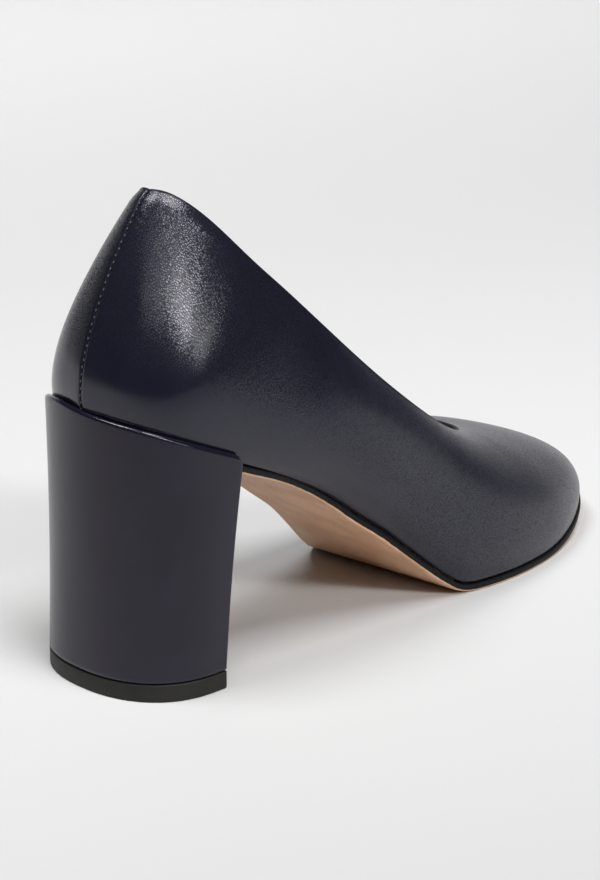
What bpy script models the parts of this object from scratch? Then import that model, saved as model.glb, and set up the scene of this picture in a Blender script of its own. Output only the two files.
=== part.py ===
"""A block-heel court shoe for the right foot, standing empty on its sole.

The toe points to +X, the inner side of the foot to +Y, and the floor is Z = 0. Sizes and
tables are in millimetres from the heel's rearmost point on the floor. The finished meshes are
in metres, about the middle of the shoe's footprint.
"""

import math
from collections import namedtuple

import bpy
import numpy as np
from mathutils import Matrix

COLLECTION = "block_heel_court_shoe"
MM = 0.001

# Clearance between neighbouring pieces
GAP = 0.3

# Upper and insole
WALL = 1.8
INSOLE_THICK = 2.0
INSOLE_INSET = 2.3

# Outsole: its rear end is square to the sloping seat, so it starts a little ahead of the heel
SOLE_THICK = 2.4
SOLE_EDGE = 0.8
SOLE_START = 38.3

# Heel: a D in section, turned a little outward from the shoe's long axis
HEEL_TURN = math.radians(4.0)
BREAST_TOP = 37.0
HEEL_FOOT_HALF = 29.7
HEEL_FOOT_ROUND = 25.2
HEEL_FOOT_LENGTH = 29.8
HEEL_SQUARENESS = 2.3
HEEL_HOLLOW = 0.5
BREAST_EASE = 0.6
LIP_OUTER = 2.7
LIP_INNER = 6.2
LIP_STEP_AT = 3.0
LIP_STEP_REACH = 11.5
LIP_WALL = 2.0
LIP_CORNER = 2.4
LIP_SHOULDER = 1.0
LIP_UNDERCUT = 0.7
TOP_PIECE_THICK = 5.3
TOP_PIECE_ROUNDING = 0.4
TOP_PIECE_SHARP = math.radians(50)

# The lip in section, from its shoulder over the crown: how far each ring lies inside the heel's
# outline, how far below the crown, and how far it is eased along the breast
LipRing = namedtuple("LipRing", "inside below ease")
LIP_RINGS = (
    LipRing(0.3, 0.3, 0.2),
    LipRing(0.9, 0.0, 0.0),
    LipRing(LIP_WALL - 0.3, 0.3, 0.0),
    LipRing(LIP_WALL, 0.8, 0.0),
)

# Mesh fineness
STEPS_PER_ROW = 3
WALL_STEPS = 12
HEEL_SIDE_POINTS = 57
HEEL_BREAST_POINTS = 9
HEEL_LEVELS = 7

# One row for each section of the last, from the back seam to the toe. The upper stands on the
# feather edge at x, outer or inner away from the swing of the centre line, and rises to the
# topline at top_x, top_half from the centre line and top_z high. lift raises the inner topline.
# The wall leaves the feather edge bulging out over rise, and comes to the topline leaning in
# over drop.
Row = namedtuple("Row", "x swing outer inner top_x top_half top_z lift bulge rise lean drop")
LAST_ROWS = (
    Row(5.0, -0.4, 0.0, 0.0, 29.5, 0.0, 140.5, 0.0, 7.0, 13.0, 17.0, 20.0),
    Row(9.4, -0.7, 17.0, 17.0, 31.6, 6.0, 139.8, 0.0, 8.0, 16.0, 14.0, 20.5),
    Row(19.8, -1.4, 25.0, 25.0, 37.6, 14.4, 133.0, 0.2, 7.2, 18.0, 10.0, 21.5),
    Row(SOLE_START, -2.6, 26.0, 25.8, 47.0, 20.6, 121.3, 0.6, 7.5, 14.5, 6.5, 20.5),
    Row(53.0, -3.6, 24.0, 23.2, 58.5, 23.8, 110.0, 1.2, 11.0, 9.5, 4.5, 24.0),
    Row(72.0, -4.4, 22.0, 19.8, 74.0, 25.8, 95.8, 1.8, 14.5, 8.0, 6.0, 22.0),
    Row(94.0, -4.8, 22.6, 19.6, 92.0, 27.0, 80.4, 2.0, 15.0, 8.0, 6.5, 20.0),
    Row(116.0, -4.8, 27.2, 25.2, 110.0, 27.4, 66.8, 1.8, 11.5, 10.0, 6.0, 15.0),
    Row(137.0, -4.4, 33.2, 32.4, 127.0, 25.3, 56.2, 1.2, 7.0, 12.0, 9.0, 10.5),
    Row(157.0, -3.6, 35.8, 35.8, 141.0, 20.2, 50.0, 0.6, 5.0, 13.0, 13.0, 8.0),
    Row(181.0, -2.2, 33.8, 34.4, 150.5, 13.0, 47.0, 0.2, 4.2, 12.0, 20.0, 7.0),
    Row(204.0, -0.5, 26.4, 27.2, 154.6, 7.4, 45.8, 0.0, 4.0, 11.0, 28.0, 8.0),
    Row(221.5, 1.0, 15.6, 16.4, 156.1, 3.4, 45.3, 0.0, 4.0, 10.5, 33.0, 8.5),
    Row(230.0, 1.8, 0.0, 0.0, 156.6, 0.0, 45.2, 0.0, 4.0, 10.0, 35.0, 9.0),
)
BREAST_ROW = 3

# The side profile of the seat and of the outsole's upper face: a straight heel seat, the shank,
# the bend at the ball, the flat tread and the toe spring
Level = namedtuple("Level", "x z")
SOLE_LEVELS = (
    Level(0.0, 79.45),
    Level(BREAST_TOP, 63.9),
    Level(57.0, 55.5),
    Level(70.0, 48.5),
    Level(80.0, 41.9),
    Level(88.0, 35.9),
    Level(100.0, 27.4),
    Level(109.0, 20.0),
    Level(118.0, 12.5),
    Level(125.0, 7.0),
    Level(131.5, 3.2),
    Level(137.0, SOLE_THICK),
    Level(172.0, SOLE_THICK),
    Level(195.0, 4.0),
    Level(215.0, 7.2),
    Level(235.0, 11.2),
)


def sole_top(x):
    """Height of the seat and of the outsole's upper face at x, smooth and flat on the tread."""
    xs = np.array([level.x for level in SOLE_LEVELS])
    zs = np.array([level.z for level in SOLE_LEVELS])
    grade = np.diff(zs) / np.diff(xs)
    slope = np.zeros(len(xs))
    slope[0] = grade[0]
    slope[-1] = grade[-1]
    for i in range(1, len(xs) - 1):
        if grade[i - 1] * grade[i] > 0:
            slope[i] = 2 * grade[i - 1] * grade[i] / (grade[i - 1] + grade[i])
    slope[1] = grade[0]
    x = np.asarray(x, float)
    i = np.clip(np.searchsorted(xs, x) - 1, 0, len(xs) - 2)
    width = xs[i + 1] - xs[i]
    t = (x - xs[i]) / width
    return ((2 * t**3 - 3 * t**2 + 1) * zs[i] + (t**3 - 2 * t**2 + t) * width * slope[i]
            + (3 * t**2 - 2 * t**3) * zs[i + 1] + (t**3 - t**2) * width * slope[i + 1])


def smooth_loop(values):
    """Samples of the closed cubic spline through values, STEPS_PER_ROW from each to the next."""
    values = np.asarray(values, float)
    count = len(values)
    unit = np.eye(count)
    weights = 4 * unit + np.roll(unit, 1, axis=1) + np.roll(unit, -1, axis=1)
    ahead = np.roll(values, -1)
    slope = np.linalg.solve(weights, 3 * (ahead - np.roll(values, 1)))
    t = np.arange(STEPS_PER_ROW) / STEPS_PER_ROW
    rows = [(2 * t**3 - 3 * t**2 + 1) * values[i] + (t**3 - 2 * t**2 + t) * slope[i]
            + (3 * t**2 - 2 * t**3) * ahead[i] + (t**3 - t**2) * slope[(i + 1) % count]
            for i in range(count)]
    return np.concatenate(rows)


def outward(loop):
    """Unit normals, in plan, of a loop that runs anticlockwise seen from above."""
    ahead = np.roll(loop, -1, axis=0)[:, :2] - np.roll(loop, 1, axis=0)[:, :2]
    normal = np.column_stack([ahead[:, 1], -ahead[:, 0]])
    return normal / np.linalg.norm(normal, axis=1)[:, None]


def around_last():
    """Each row of the last with its side, back to toe on the outer side and home on the inner."""
    outer = [(row, -1) for row in LAST_ROWS]
    inner = [(row, 1) for row in LAST_ROWS[-2:0:-1]]
    return outer + inner


def swing_angle(x):
    """Direction of the curved centre line at x, from the long axis."""
    xs = [row.x for row in LAST_ROWS]
    turn = np.gradient([row.swing for row in LAST_ROWS], xs)
    return math.atan(np.interp(x, xs, turn))


def feather_loop():
    """The upper's lower edge as a closed loop, with its height."""
    points = []
    for row, side in around_last():
        half = row.inner if side > 0 else row.outer
        angle = swing_angle(row.x)
        points.append((row.x - side * half * math.sin(angle),
                       row.swing + side * half * math.cos(angle)))
    xs, ys = np.array(points).T
    x = smooth_loop(xs)
    y = smooth_loop(ys)
    return np.column_stack([x, y, sole_top(x) + GAP])


def topline_loop():
    """The collar's edge as a closed loop."""
    points = []
    for row, side in around_last():
        middle = np.interp(row.top_x, [r.x for r in LAST_ROWS], [r.swing for r in LAST_ROWS])
        lift = row.lift if side > 0 else 0.0
        points.append((row.top_x, middle + side * row.top_half, row.top_z + lift))
    return np.column_stack([smooth_loop(column) for column in np.array(points).T])


def wall_rows(steps):
    """The upper's outer face, as loops from the feather edge (first) to the topline (last)."""
    feather = feather_loop()
    top = topline_loop()
    rows = [row for row, side in around_last()]
    bulge, rise, lean, drop = (smooth_loop([getattr(row, name) for row in rows])
                               for name in ("bulge", "rise", "lean", "drop"))
    low = feather.copy()
    low[:, :2] += outward(feather) * bulge[:, None]
    low[:, 2] += rise
    high = top.copy()
    high[:, :2] += outward(top) * lean[:, None]
    high[:, 2] -= drop
    return [(1 - t)**3 * feather + 3 * t * (1 - t)**2 * low + 3 * t**2 * (1 - t) * high + t**3 * top
            for t in steps]


def mesh_object(name, vertices, faces, material):
    """A new object in the shoe's collection from vertices in millimetres and their faces."""
    mesh = bpy.data.meshes.new(name)
    mesh.from_pydata((np.asarray(vertices) * MM).tolist(), [], faces)
    mesh.materials.append(material)
    mesh.shade_smooth()
    piece = bpy.data.objects.new(name, mesh)
    bpy.data.collections[COLLECTION].objects.link(piece)
    return piece


def ring_faces(rings, count):
    """Quads between successive closed rings of count points, facing away from the middle."""
    faces = []
    for ring in range(rings - 1):
        for k in range(count):
            following = (k + 1) % count
            faces.append((ring * count + k, ring * count + following,
                          (ring + 1) * count + following, (ring + 1) * count + k))
    return faces


def thicken(piece, thickness, inward):
    """Give an open surface its wall, behind its face or in front of it."""
    wall = piece.modifiers.new("Wall", "SOLIDIFY")
    wall.thickness = thickness * MM
    wall.offset = -1.0 if inward else 1.0
    wall.use_even_offset = True


def build_upper(material):
    """The leather upper: one wall from the feather edge to the topline."""
    rows = wall_rows(np.linspace(0, 1, WALL_STEPS + 1))
    count = len(rows[0])
    upper = mesh_object("upper", np.concatenate(rows), ring_faces(len(rows), count), material)
    thicken(upper, WALL, inward=True)
    return upper


def cross_strips(loop, first):
    """Vertices and upward faces of the strips that join the two sides of loop, ending at the toe."""
    toe = len(loop) // 2
    vertices = []
    spans = []
    for k in range(first, toe + 1):
        ends = [k] if k in (0, toe) else [k, len(loop) - k]
        spans.append([len(vertices) + i for i in range(len(ends))])
        vertices.extend(loop[end] for end in ends)
    faces = []
    for behind, before in zip(spans, spans[1:]):
        faces.append(tuple([behind[0]] + before + behind[:0:-1]))
    return vertices, faces


def build_insole(material):
    """Board and sock inside the upper, lying on the seat and the outsole."""
    loop = feather_loop()
    loop[:, :2] -= outward(loop) * INSOLE_INSET
    loop[:, 2] = sole_top(loop[:, 0]) + GAP
    insole = mesh_object("insole", *cross_strips(loop, 0), material)
    thicken(insole, INSOLE_THICK, inward=False)
    return insole


def build_outsole(material):
    """The thin leather sole from the heel breast to the toe."""
    loop = feather_loop()
    loop[:, :2] += outward(loop) * SOLE_EDGE
    loop[:, 2] = sole_top(loop[:, 0])
    outsole = mesh_object("outsole", *cross_strips(loop, BREAST_ROW * STEPS_PER_ROW), material)
    thicken(outsole, SOLE_THICK, inward=True)
    return outsole


def spread(points, count):
    """count points at equal distances along a polyline."""
    points = np.asarray(points)
    along = np.concatenate([[0], np.cumsum(np.linalg.norm(np.diff(points, axis=0), axis=1))])
    places = np.linspace(0, along[-1], count)
    return np.column_stack([np.interp(places, along, column) for column in points.T])


def heel_axes(points):
    """Plan points turned into the heel's own axes, along its length and across it."""
    cos, sin = math.cos(HEEL_TURN), math.sin(HEEL_TURN)
    return np.column_stack([points[:, 0] * cos - points[:, 1] * sin,
                            points[:, 0] * sin + points[:, 1] * cos])


def shoe_axes(points):
    """Plan points from the heel's own axes back into the shoe's."""
    cos, sin = math.cos(HEEL_TURN), math.sin(HEEL_TURN)
    return np.column_stack([points[:, 0] * cos + points[:, 1] * sin,
                            points[:, 1] * cos - points[:, 0] * sin])


def close_breast(side):
    """A heel outline from its curved side, closed by the straight breast."""
    breast = np.linspace(side[-1], side[0], HEEL_BREAST_POINTS + 2)[1:-1]
    return np.concatenate([side, breast])


def heel_foot_outline():
    """The D at the heel's foot, from the inner breast corner round the back to the outer one."""
    angle = np.linspace(-math.pi / 2, math.pi / 2, 2 * HEEL_SIDE_POINTS)
    power = 2 / HEEL_SQUARENESS
    across = -HEEL_FOOT_HALF * np.sign(np.sin(angle)) * np.abs(np.sin(angle))**power
    along = HEEL_FOOT_ROUND * (1 - np.cos(angle).clip(0, 1)**power)
    curve = np.column_stack([along, across])
    ends = ([HEEL_FOOT_LENGTH, HEEL_FOOT_HALF], [HEEL_FOOT_LENGTH, -HEEL_FOOT_HALF])
    side = np.concatenate([[ends[0]], curve, [ends[1]]])
    return close_breast(spread(side, HEEL_SIDE_POINTS))


def lip_height(across):
    """The lip's height above the seat, which rises round the back from the outer side."""
    step = np.tanh((across - LIP_STEP_AT) / LIP_STEP_REACH)
    return LIP_OUTER + (LIP_INNER - LIP_OUTER) * (1 + step) / 2


def heel_top_outline():
    """The lip's outside: the upper's own face at lip height, moved out by gap and lip."""
    levels = np.array(wall_rows(np.linspace(0, 0.3, 31)))
    reach = BREAST_ROW * STEPS_PER_ROW
    order = list(range(-reach, reach + 1))
    face = []
    for k in order:
        height = levels[:, k, 2] - levels[0, k, 2]
        lip = lip_height(levels[0, k, 1])
        face.append([np.interp(lip, height, levels[:, k, axis]) for axis in (0, 1)])
    normal = outward(levels[0])[order]
    side = heel_axes(np.array(face) + normal * (GAP + LIP_WALL))
    side[:, 0] = side[:, 0].clip(max=BREAST_TOP)
    side[0, 0] = BREAST_TOP
    side[-1, 0] = BREAST_TOP
    return close_breast(spread(side, HEEL_SIDE_POINTS))


def inset(loop, distance):
    """A closed plan loop moved inward all round, with mitred corners."""
    before = loop - np.roll(loop, 1, axis=0)
    after = np.roll(loop, -1, axis=0) - loop
    before /= np.linalg.norm(before, axis=1)[:, None]
    after /= np.linalg.norm(after, axis=1)[:, None]
    inner_before = np.column_stack([-before[:, 1], before[:, 0]])
    inner_after = np.column_stack([-after[:, 1], after[:, 0]])
    mitre = inner_before + inner_after
    reach = 1 + (inner_before * inner_after).sum(axis=1)
    return loop + distance * mitre / reach[:, None]


def lip_share(outline):
    """The lip's height round the heel, 1 along the sides and back and 0 from corner to corner."""
    from_breast = ((BREAST_TOP - outline[:, 0]) / LIP_CORNER).clip(0, 1)
    return np.sqrt(1 - (1 - from_breast)**2)


def build_heel(material):
    """The covered heel block: a loft from its foot to a lip that cups the upper, and the seat."""
    foot = heel_foot_outline()
    top = heel_top_outline()
    share = lip_share(top)
    foot_height = TOP_PIECE_THICK + GAP
    seat = sole_top(shoe_axes(top)[:, 0])
    lip = lip_height(shoe_axes(top)[:, 1])
    rings = []

    def add_ring(outline, height):
        rings.append(np.column_stack([shoe_axes(outline), height]))

    shoulder = seat + share * (lip - LIP_SHOULDER) - (1 - share) * BREAST_EASE
    for t in np.linspace(0, 1, HEEL_LEVELS):
        outline = inset(foot + t * (top - foot), HEEL_HOLLOW * math.sin(math.pi * t))
        add_ring(outline, foot_height + t * (shoulder - foot_height))
    for ring in LIP_RINGS:
        outline = inset(top, ring.inside)
        base = sole_top(shoe_axes(outline)[:, 0])
        add_ring(outline, base + share * (lip - ring.below) - (1 - share) * ring.ease)
    inner_foot = inset(top, LIP_WALL + LIP_UNDERCUT)
    add_ring(inner_foot, sole_top(shoe_axes(inner_foot)[:, 0]))
    count = len(foot)
    faces = ring_faces(len(rings), count)
    faces.append(tuple(range(count))[::-1])
    faces.append(tuple(range((len(rings) - 1) * count, len(rings) * count)))
    return mesh_object("heel_block", np.concatenate(rings), faces, material)


def build_top_piece(material):
    """The rubber lift: the D of the heel's foot, with its edges eased."""
    outline = shoe_axes(heel_foot_outline())
    vertices = np.column_stack([outline, np.zeros(len(outline))])
    top_piece = mesh_object("top_piece", vertices, [tuple(range(len(outline)))], material)
    thicken(top_piece, TOP_PIECE_THICK, inward=False)
    rounding = top_piece.modifiers.new("Eased edges", "BEVEL")
    rounding.width = TOP_PIECE_ROUNDING * MM
    rounding.segments = 2
    rounding.limit_method = "ANGLE"
    rounding.angle_limit = TOP_PIECE_SHARP
    return top_piece


def finish_material(name, colour, roughness):
    """A plain Principled finish."""
    material = bpy.data.materials.new(name)
    material.use_nodes = True
    shader = material.node_tree.nodes["Principled BSDF"]
    shader.inputs["Base Color"].default_value = (*colour, 1.0)
    shader.inputs["Roughness"].default_value = roughness
    shader.inputs["Metallic"].default_value = 0.0
    return material


def centre_on_footprint(pieces):
    """Move every mesh so that the origin is under the middle of the whole shoe."""
    corners = np.array([vertex.co for piece in pieces for vertex in piece.data.vertices])
    middle = (corners.min(axis=0) + corners.max(axis=0)) / 2
    for piece in pieces:
        piece.data.transform(Matrix.Translation((-middle[0], -middle[1], 0.0)))


for leftover in list(bpy.data.objects):
    bpy.data.objects.remove(leftover)
bpy.context.scene.collection.children.link(bpy.data.collections.new(COLLECTION))

nappa = finish_material("navy_nappa", (0.018, 0.018, 0.028), 0.35)
sole_leather = finish_material("sole_leather", (0.42, 0.24, 0.16), 0.5)
sock_leather = finish_material("sock_leather", (0.50, 0.32, 0.22), 0.6)
rubber = finish_material("lift_rubber", (0.022, 0.021, 0.018), 0.6)

centre_on_footprint([
    build_upper(nappa),
    build_insole(sock_leather),
    build_outsole(sole_leather),
    build_heel(nappa),
    build_top_piece(rubber),
])
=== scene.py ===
"""Looks of a block-heel court shoe for the right foot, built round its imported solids.

Shapes are worked out in millimetres from the heel's rearmost point on the floor, with the toe to
+X and the inner side of the foot to +Y. The pieces are in metres, in the frame of the solids.
"""

import math
from collections import namedtuple

import bpy
import numpy as np
from mathutils import Matrix, Vector


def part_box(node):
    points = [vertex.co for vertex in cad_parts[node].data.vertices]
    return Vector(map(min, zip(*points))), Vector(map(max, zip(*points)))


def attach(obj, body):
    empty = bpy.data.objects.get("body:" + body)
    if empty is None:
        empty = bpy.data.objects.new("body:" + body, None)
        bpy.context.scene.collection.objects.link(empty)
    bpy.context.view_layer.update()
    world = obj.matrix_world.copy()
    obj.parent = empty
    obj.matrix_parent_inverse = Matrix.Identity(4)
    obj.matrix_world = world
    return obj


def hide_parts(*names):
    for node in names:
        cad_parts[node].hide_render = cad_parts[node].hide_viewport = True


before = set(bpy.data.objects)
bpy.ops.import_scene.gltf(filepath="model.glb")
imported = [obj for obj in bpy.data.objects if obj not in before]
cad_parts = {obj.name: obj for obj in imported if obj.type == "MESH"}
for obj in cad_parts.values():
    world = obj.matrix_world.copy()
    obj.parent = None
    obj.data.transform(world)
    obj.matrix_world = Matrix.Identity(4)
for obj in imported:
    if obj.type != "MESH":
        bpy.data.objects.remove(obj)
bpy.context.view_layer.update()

MM = 0.001

# The last, as in the solids: one row for each section from the back seam to the toe. The upper
# stands on the feather edge at x and rises to the topline at top_x, top_half and top_z.
Row = namedtuple("Row", "x swing outer inner top_x top_half top_z lift bulge rise lean drop")
SOLE_START = 38.3
LAST_ROWS = (
    Row(5.0, -0.4, 0.0, 0.0, 29.5, 0.0, 140.5, 0.0, 7.0, 13.0, 17.0, 20.0),
    Row(9.4, -0.7, 17.0, 17.0, 31.6, 6.0, 139.8, 0.0, 8.0, 16.0, 14.0, 20.5),
    Row(19.8, -1.4, 25.0, 25.0, 37.6, 14.4, 133.0, 0.2, 7.2, 18.0, 10.0, 21.5),
    Row(SOLE_START, -2.6, 26.0, 25.8, 47.0, 20.6, 121.3, 0.6, 7.5, 14.5, 6.5, 20.5),
    Row(53.0, -3.6, 24.0, 23.2, 58.5, 23.8, 110.0, 1.2, 11.0, 9.5, 4.5, 24.0),
    Row(72.0, -4.4, 22.0, 19.8, 74.0, 25.8, 95.8, 1.8, 14.5, 8.0, 6.0, 22.0),
    Row(94.0, -4.8, 22.6, 19.6, 92.0, 27.0, 80.4, 2.0, 15.0, 8.0, 6.5, 20.0),
    Row(116.0, -4.8, 27.2, 25.2, 110.0, 27.4, 66.8, 1.8, 11.5, 10.0, 6.0, 15.0),
    Row(137.0, -4.4, 33.2, 32.4, 127.0, 25.3, 56.2, 1.2, 7.0, 12.0, 9.0, 10.5),
    Row(157.0, -3.6, 35.8, 35.8, 141.0, 20.2, 50.0, 0.6, 5.0, 13.0, 13.0, 8.0),
    Row(181.0, -2.2, 33.8, 34.4, 150.5, 13.0, 47.0, 0.2, 4.2, 12.0, 20.0, 7.0),
    Row(204.0, -0.5, 26.4, 27.2, 154.6, 7.4, 45.8, 0.0, 4.0, 11.0, 28.0, 8.0),
    Row(221.5, 1.0, 15.6, 16.4, 156.1, 3.4, 45.3, 0.0, 4.0, 10.5, 33.0, 8.5),
    Row(230.0, 1.8, 0.0, 0.0, 156.6, 0.0, 45.2, 0.0, 4.0, 10.0, 35.0, 9.0),
)
ROWS_ROUND = 2 * len(LAST_ROWS) - 2
BREAST_ROW = 3
NORMAL_REACH = 1 / 3
GAP = 0.3

# Side profile of the seat and of the outsole's upper face
Level = namedtuple("Level", "x z")
SOLE_THICK = 2.4
BREAST_TOP = 37.0
SOLE_LEVELS = (
    Level(0.0, 79.45), Level(BREAST_TOP, 63.9), Level(57.0, 55.5), Level(70.0, 48.5),
    Level(80.0, 41.9), Level(88.0, 35.9), Level(100.0, 27.4), Level(109.0, 20.0),
    Level(118.0, 12.5), Level(125.0, 7.0), Level(131.5, 3.2), Level(137.0, SOLE_THICK),
    Level(172.0, SOLE_THICK), Level(195.0, 4.0), Level(215.0, 7.2), Level(235.0, 11.2),
)

# Upper: outer leather, and the lining behind it
LEATHER = 1.1
LINING_BACK = 1.2
LINING_FACE = 1.8
LINING_DROP = 1.0

# The folded topline rolls in over a narrow band under its edge, most of all at the back
ROLL_HEIGHT = 0.85
ROLL_STAND = 0.8
ROLL_BAND = 2.7
ROLL_EASE = 25.0
ROLL_REACH = 36.0
ROLL_FAR = 0.3

# The top of the collar leans in, and the quarters are fuller below it
LEAN_IN = 0.75
LEAN_AT_SEAM = 0.35
LEAN_BAND = 10.0
LEAN_EASE = 40.0
LEAN_START = 18.0

# The closed seam at the back: a ridge, a groove down its middle, and the stitches in it
SEAM_RIDGE = 0.55
SEAM_RIDGE_REACH = 8.0
SEAM_RIDGE_POWER = 1.5
SEAM_DEPTH = 0.55
SEAM_HALF = 0.42
STITCH_PITCH = 2.0
STITCH_LENGTH = 0.75
STITCH_WIDTH = 0.42
STITCH_FLATNESS = 0.8
STITCH_RAISE = 0.1
STITCH_ZIGZAG = 0.22
SEAM_FROM_FEATHER = 4.6
SEAM_FROM_TOPLINE = 1.4

# Soft troughs and ridges on both sides of the upper: the place in rows round the last,
# the distance below the topline, how far it reaches along and down, and its height
Swell = namedtuple("Swell", "place below along down height")
SWELLS = (
    Swell(4.3, 18.0, 9.0, 15.0, -0.25),
    Swell(4.3, 46.0, 22.0, 14.0, 0.9),
)

# Sock, outsole and heel
SOCK_INSET = 2.3
SOCK_RIM = 1.05
SOCK_FLARE = 0.95
SOCK_FLARE_FROM = 0.5
SOCK_FLARE_RANGE = 1.35
SOCK_THICK = 2.0
SOLE_EDGE = 0.8
HEEL_TURN = math.radians(4.0)
HEEL_FOOT_HALF = 29.7
HEEL_FOOT_ROUND = 25.2
HEEL_FOOT_LENGTH = 29.8
HEEL_SQUARENESS = 2.3
HEEL_HOLLOW = 0.5
HEEL_CORNER = 0.8
HEEL_CORNER_LEAST = 0.15
HEEL_EDGE = ((1.6, 0.0), (0.7, 0.0), (0.25, 0.1))
HEEL_EDGE_HEIGHT = 0.35
BREAST_EASE = 0.6
LIP_OUTER = 2.7
LIP_INNER = 6.2
LIP_STEP_AT = 3.0
LIP_STEP_REACH = 11.5
LIP_WALL = 2.0
LIP_CORNER = 2.4
LIP_CROWN = 1.5
LIP_UNDERCUT = 0.7
LIP_INNER_TURN = math.radians(75.0)
LIFT_THICK = 5.3

# How finely the pieces are divided
WALL_SAMPLES = 161
WALL_ROWS = 84
WALL_CROWDING = 0.45
SIDE_PLACES = 217
SEAM_STEPS = 24
SEAM_CROWDING = 1.7
EDGE_STEPS = 5
LINING_ROWS = 40
LINING_CROWDING = 0.3
LINING_STEP = 0.125
PLATE_STEP = 0.1
PLATE_COLUMNS = 16
HEEL_SIDE = 180
HEEL_BREAST = 24
HEEL_LEVELS = 40
HEEL_CROWDING = 0.4
CORNER_STEPS = 7
LIP_STEPS = 7
LIP_SAMPLES = 31


def hermite(t, start, end, start_slope, end_slope):
    """Cubic from start to end over t from 0 to 1."""
    return ((2 * t**3 - 3 * t**2 + 1) * start + (t**3 - 2 * t**2 + t) * start_slope
            + (3 * t**2 - 2 * t**3) * end + (t**3 - t**2) * end_slope)


def sole_top(x):
    """Height of the seat and of the outsole's upper face at x."""
    xs, zs = np.transpose(SOLE_LEVELS)
    grade = np.diff(zs) / np.diff(xs)
    slope = np.zeros(len(xs))
    slope[0] = grade[0]
    slope[-1] = grade[-1]
    for i in range(1, len(xs) - 1):
        if grade[i - 1] * grade[i] > 0:
            slope[i] = 2 * grade[i - 1] * grade[i] / (grade[i - 1] + grade[i])
    slope[1] = grade[0]
    i = np.clip(np.searchsorted(xs, x) - 1, 0, len(xs) - 2)
    width = xs[i + 1] - xs[i]
    return hermite((x - xs[i]) / width, zs[i], zs[i + 1], width * slope[i], width * slope[i + 1])


def on_seat(plan, height):
    """Points at a height above the seat, square to its slope."""
    x = plan[:, 0]
    slope = (sole_top(x + 0.05) - sole_top(x - 0.05)) / 0.1
    reach = height / np.sqrt(1 + slope**2)
    return np.column_stack([x - slope * reach, plan[:, 1], sole_top(x) + reach])


def closed_spline(values, places):
    """The closed cubic spline through values, read at places counted in rows from the back."""
    values = np.asarray(values, float)
    count = len(values)
    own = np.eye(count)
    weights = 4 * own + np.roll(own, 1, axis=1) + np.roll(own, -1, axis=1)
    slope = np.linalg.solve(weights, 3 * (np.roll(values, -1) - np.roll(values, 1)))
    start = np.floor(places).astype(int)
    i = start % count
    following = (start + 1) % count
    return hermite(places - start, values[i], values[following], slope[i], slope[following])


def around_last():
    """Each row of the last with its side, back to toe on the outer side and home on the inner."""
    return [(row, -1) for row in LAST_ROWS] + [(row, 1) for row in LAST_ROWS[-2:0:-1]]


def swing_at(x):
    """The curved centre line at x."""
    return np.interp(x, [row.x for row in LAST_ROWS], [row.swing for row in LAST_ROWS])


def feather(places):
    """The upper's lower edge."""
    xs = [row.x for row in LAST_ROWS]
    turn = np.gradient([row.swing for row in LAST_ROWS], xs)
    plan = []
    for row, side in around_last():
        half = side * (row.inner if side > 0 else row.outer)
        angle = math.atan(np.interp(row.x, xs, turn))
        plan.append((row.x - half * math.sin(angle), row.swing + half * math.cos(angle)))
    x, y = (closed_spline(column, places) for column in np.transpose(plan))
    return np.column_stack([x, y, sole_top(x) + GAP])


def topline(places):
    """The collar's edge."""
    points = [(row.top_x, swing_at(row.top_x) + side * row.top_half,
               row.top_z + (row.lift if side > 0 else 0.0)) for row, side in around_last()]
    return np.column_stack([closed_spline(column, places) for column in np.transpose(points)])


def outward(curve, places):
    """Unit normals, in plan, of a curve that runs anticlockwise seen from above."""
    ahead = curve(places + NORMAL_REACH) - curve(places - NORMAL_REACH)
    normal = np.column_stack([ahead[:, 1], -ahead[:, 0]])
    return normal / np.linalg.norm(normal, axis=1)[:, None]


def row_values(places, *names):
    """The named values of the rows, read between them."""
    return [closed_spline([getattr(row, name) for row, side in around_last()], places)
            for name in names]


def wall(places, steps):
    """The upper's outer face as rows of points, from the feather edge up to the topline."""
    low_end = feather(places)
    high_end = topline(places)
    bulge, rise, lean, drop = row_values(places, "bulge", "rise", "lean", "drop")
    low = low_end.copy()
    low[:, :2] += outward(feather, places) * bulge[:, None]
    low[:, 2] += rise
    high = high_end.copy()
    high[:, :2] += outward(topline, places) * lean[:, None]
    high[:, 2] -= drop
    t = np.asarray(steps)[:, None, None]
    return ((1 - t)**3 * low_end + 3 * t * (1 - t)**2 * low
            + 3 * t**2 * (1 - t) * high + t**3 * high_end)


def unit(vectors):
    """Vectors made one long."""
    return vectors / np.linalg.norm(vectors, axis=-1, keepdims=True)


def sheet_axes(sheet):
    """Outward normals of a closed sheet of rows, and its directions up the wall."""
    up = unit(np.gradient(sheet, axis=0))
    normal = unit(np.cross(np.roll(sheet, -1, axis=1) - np.roll(sheet, 1, axis=1), up))
    return normal, up


Sheet = namedtuple("Sheet", "points normal up from_top from_feather share from_seam")


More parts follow.
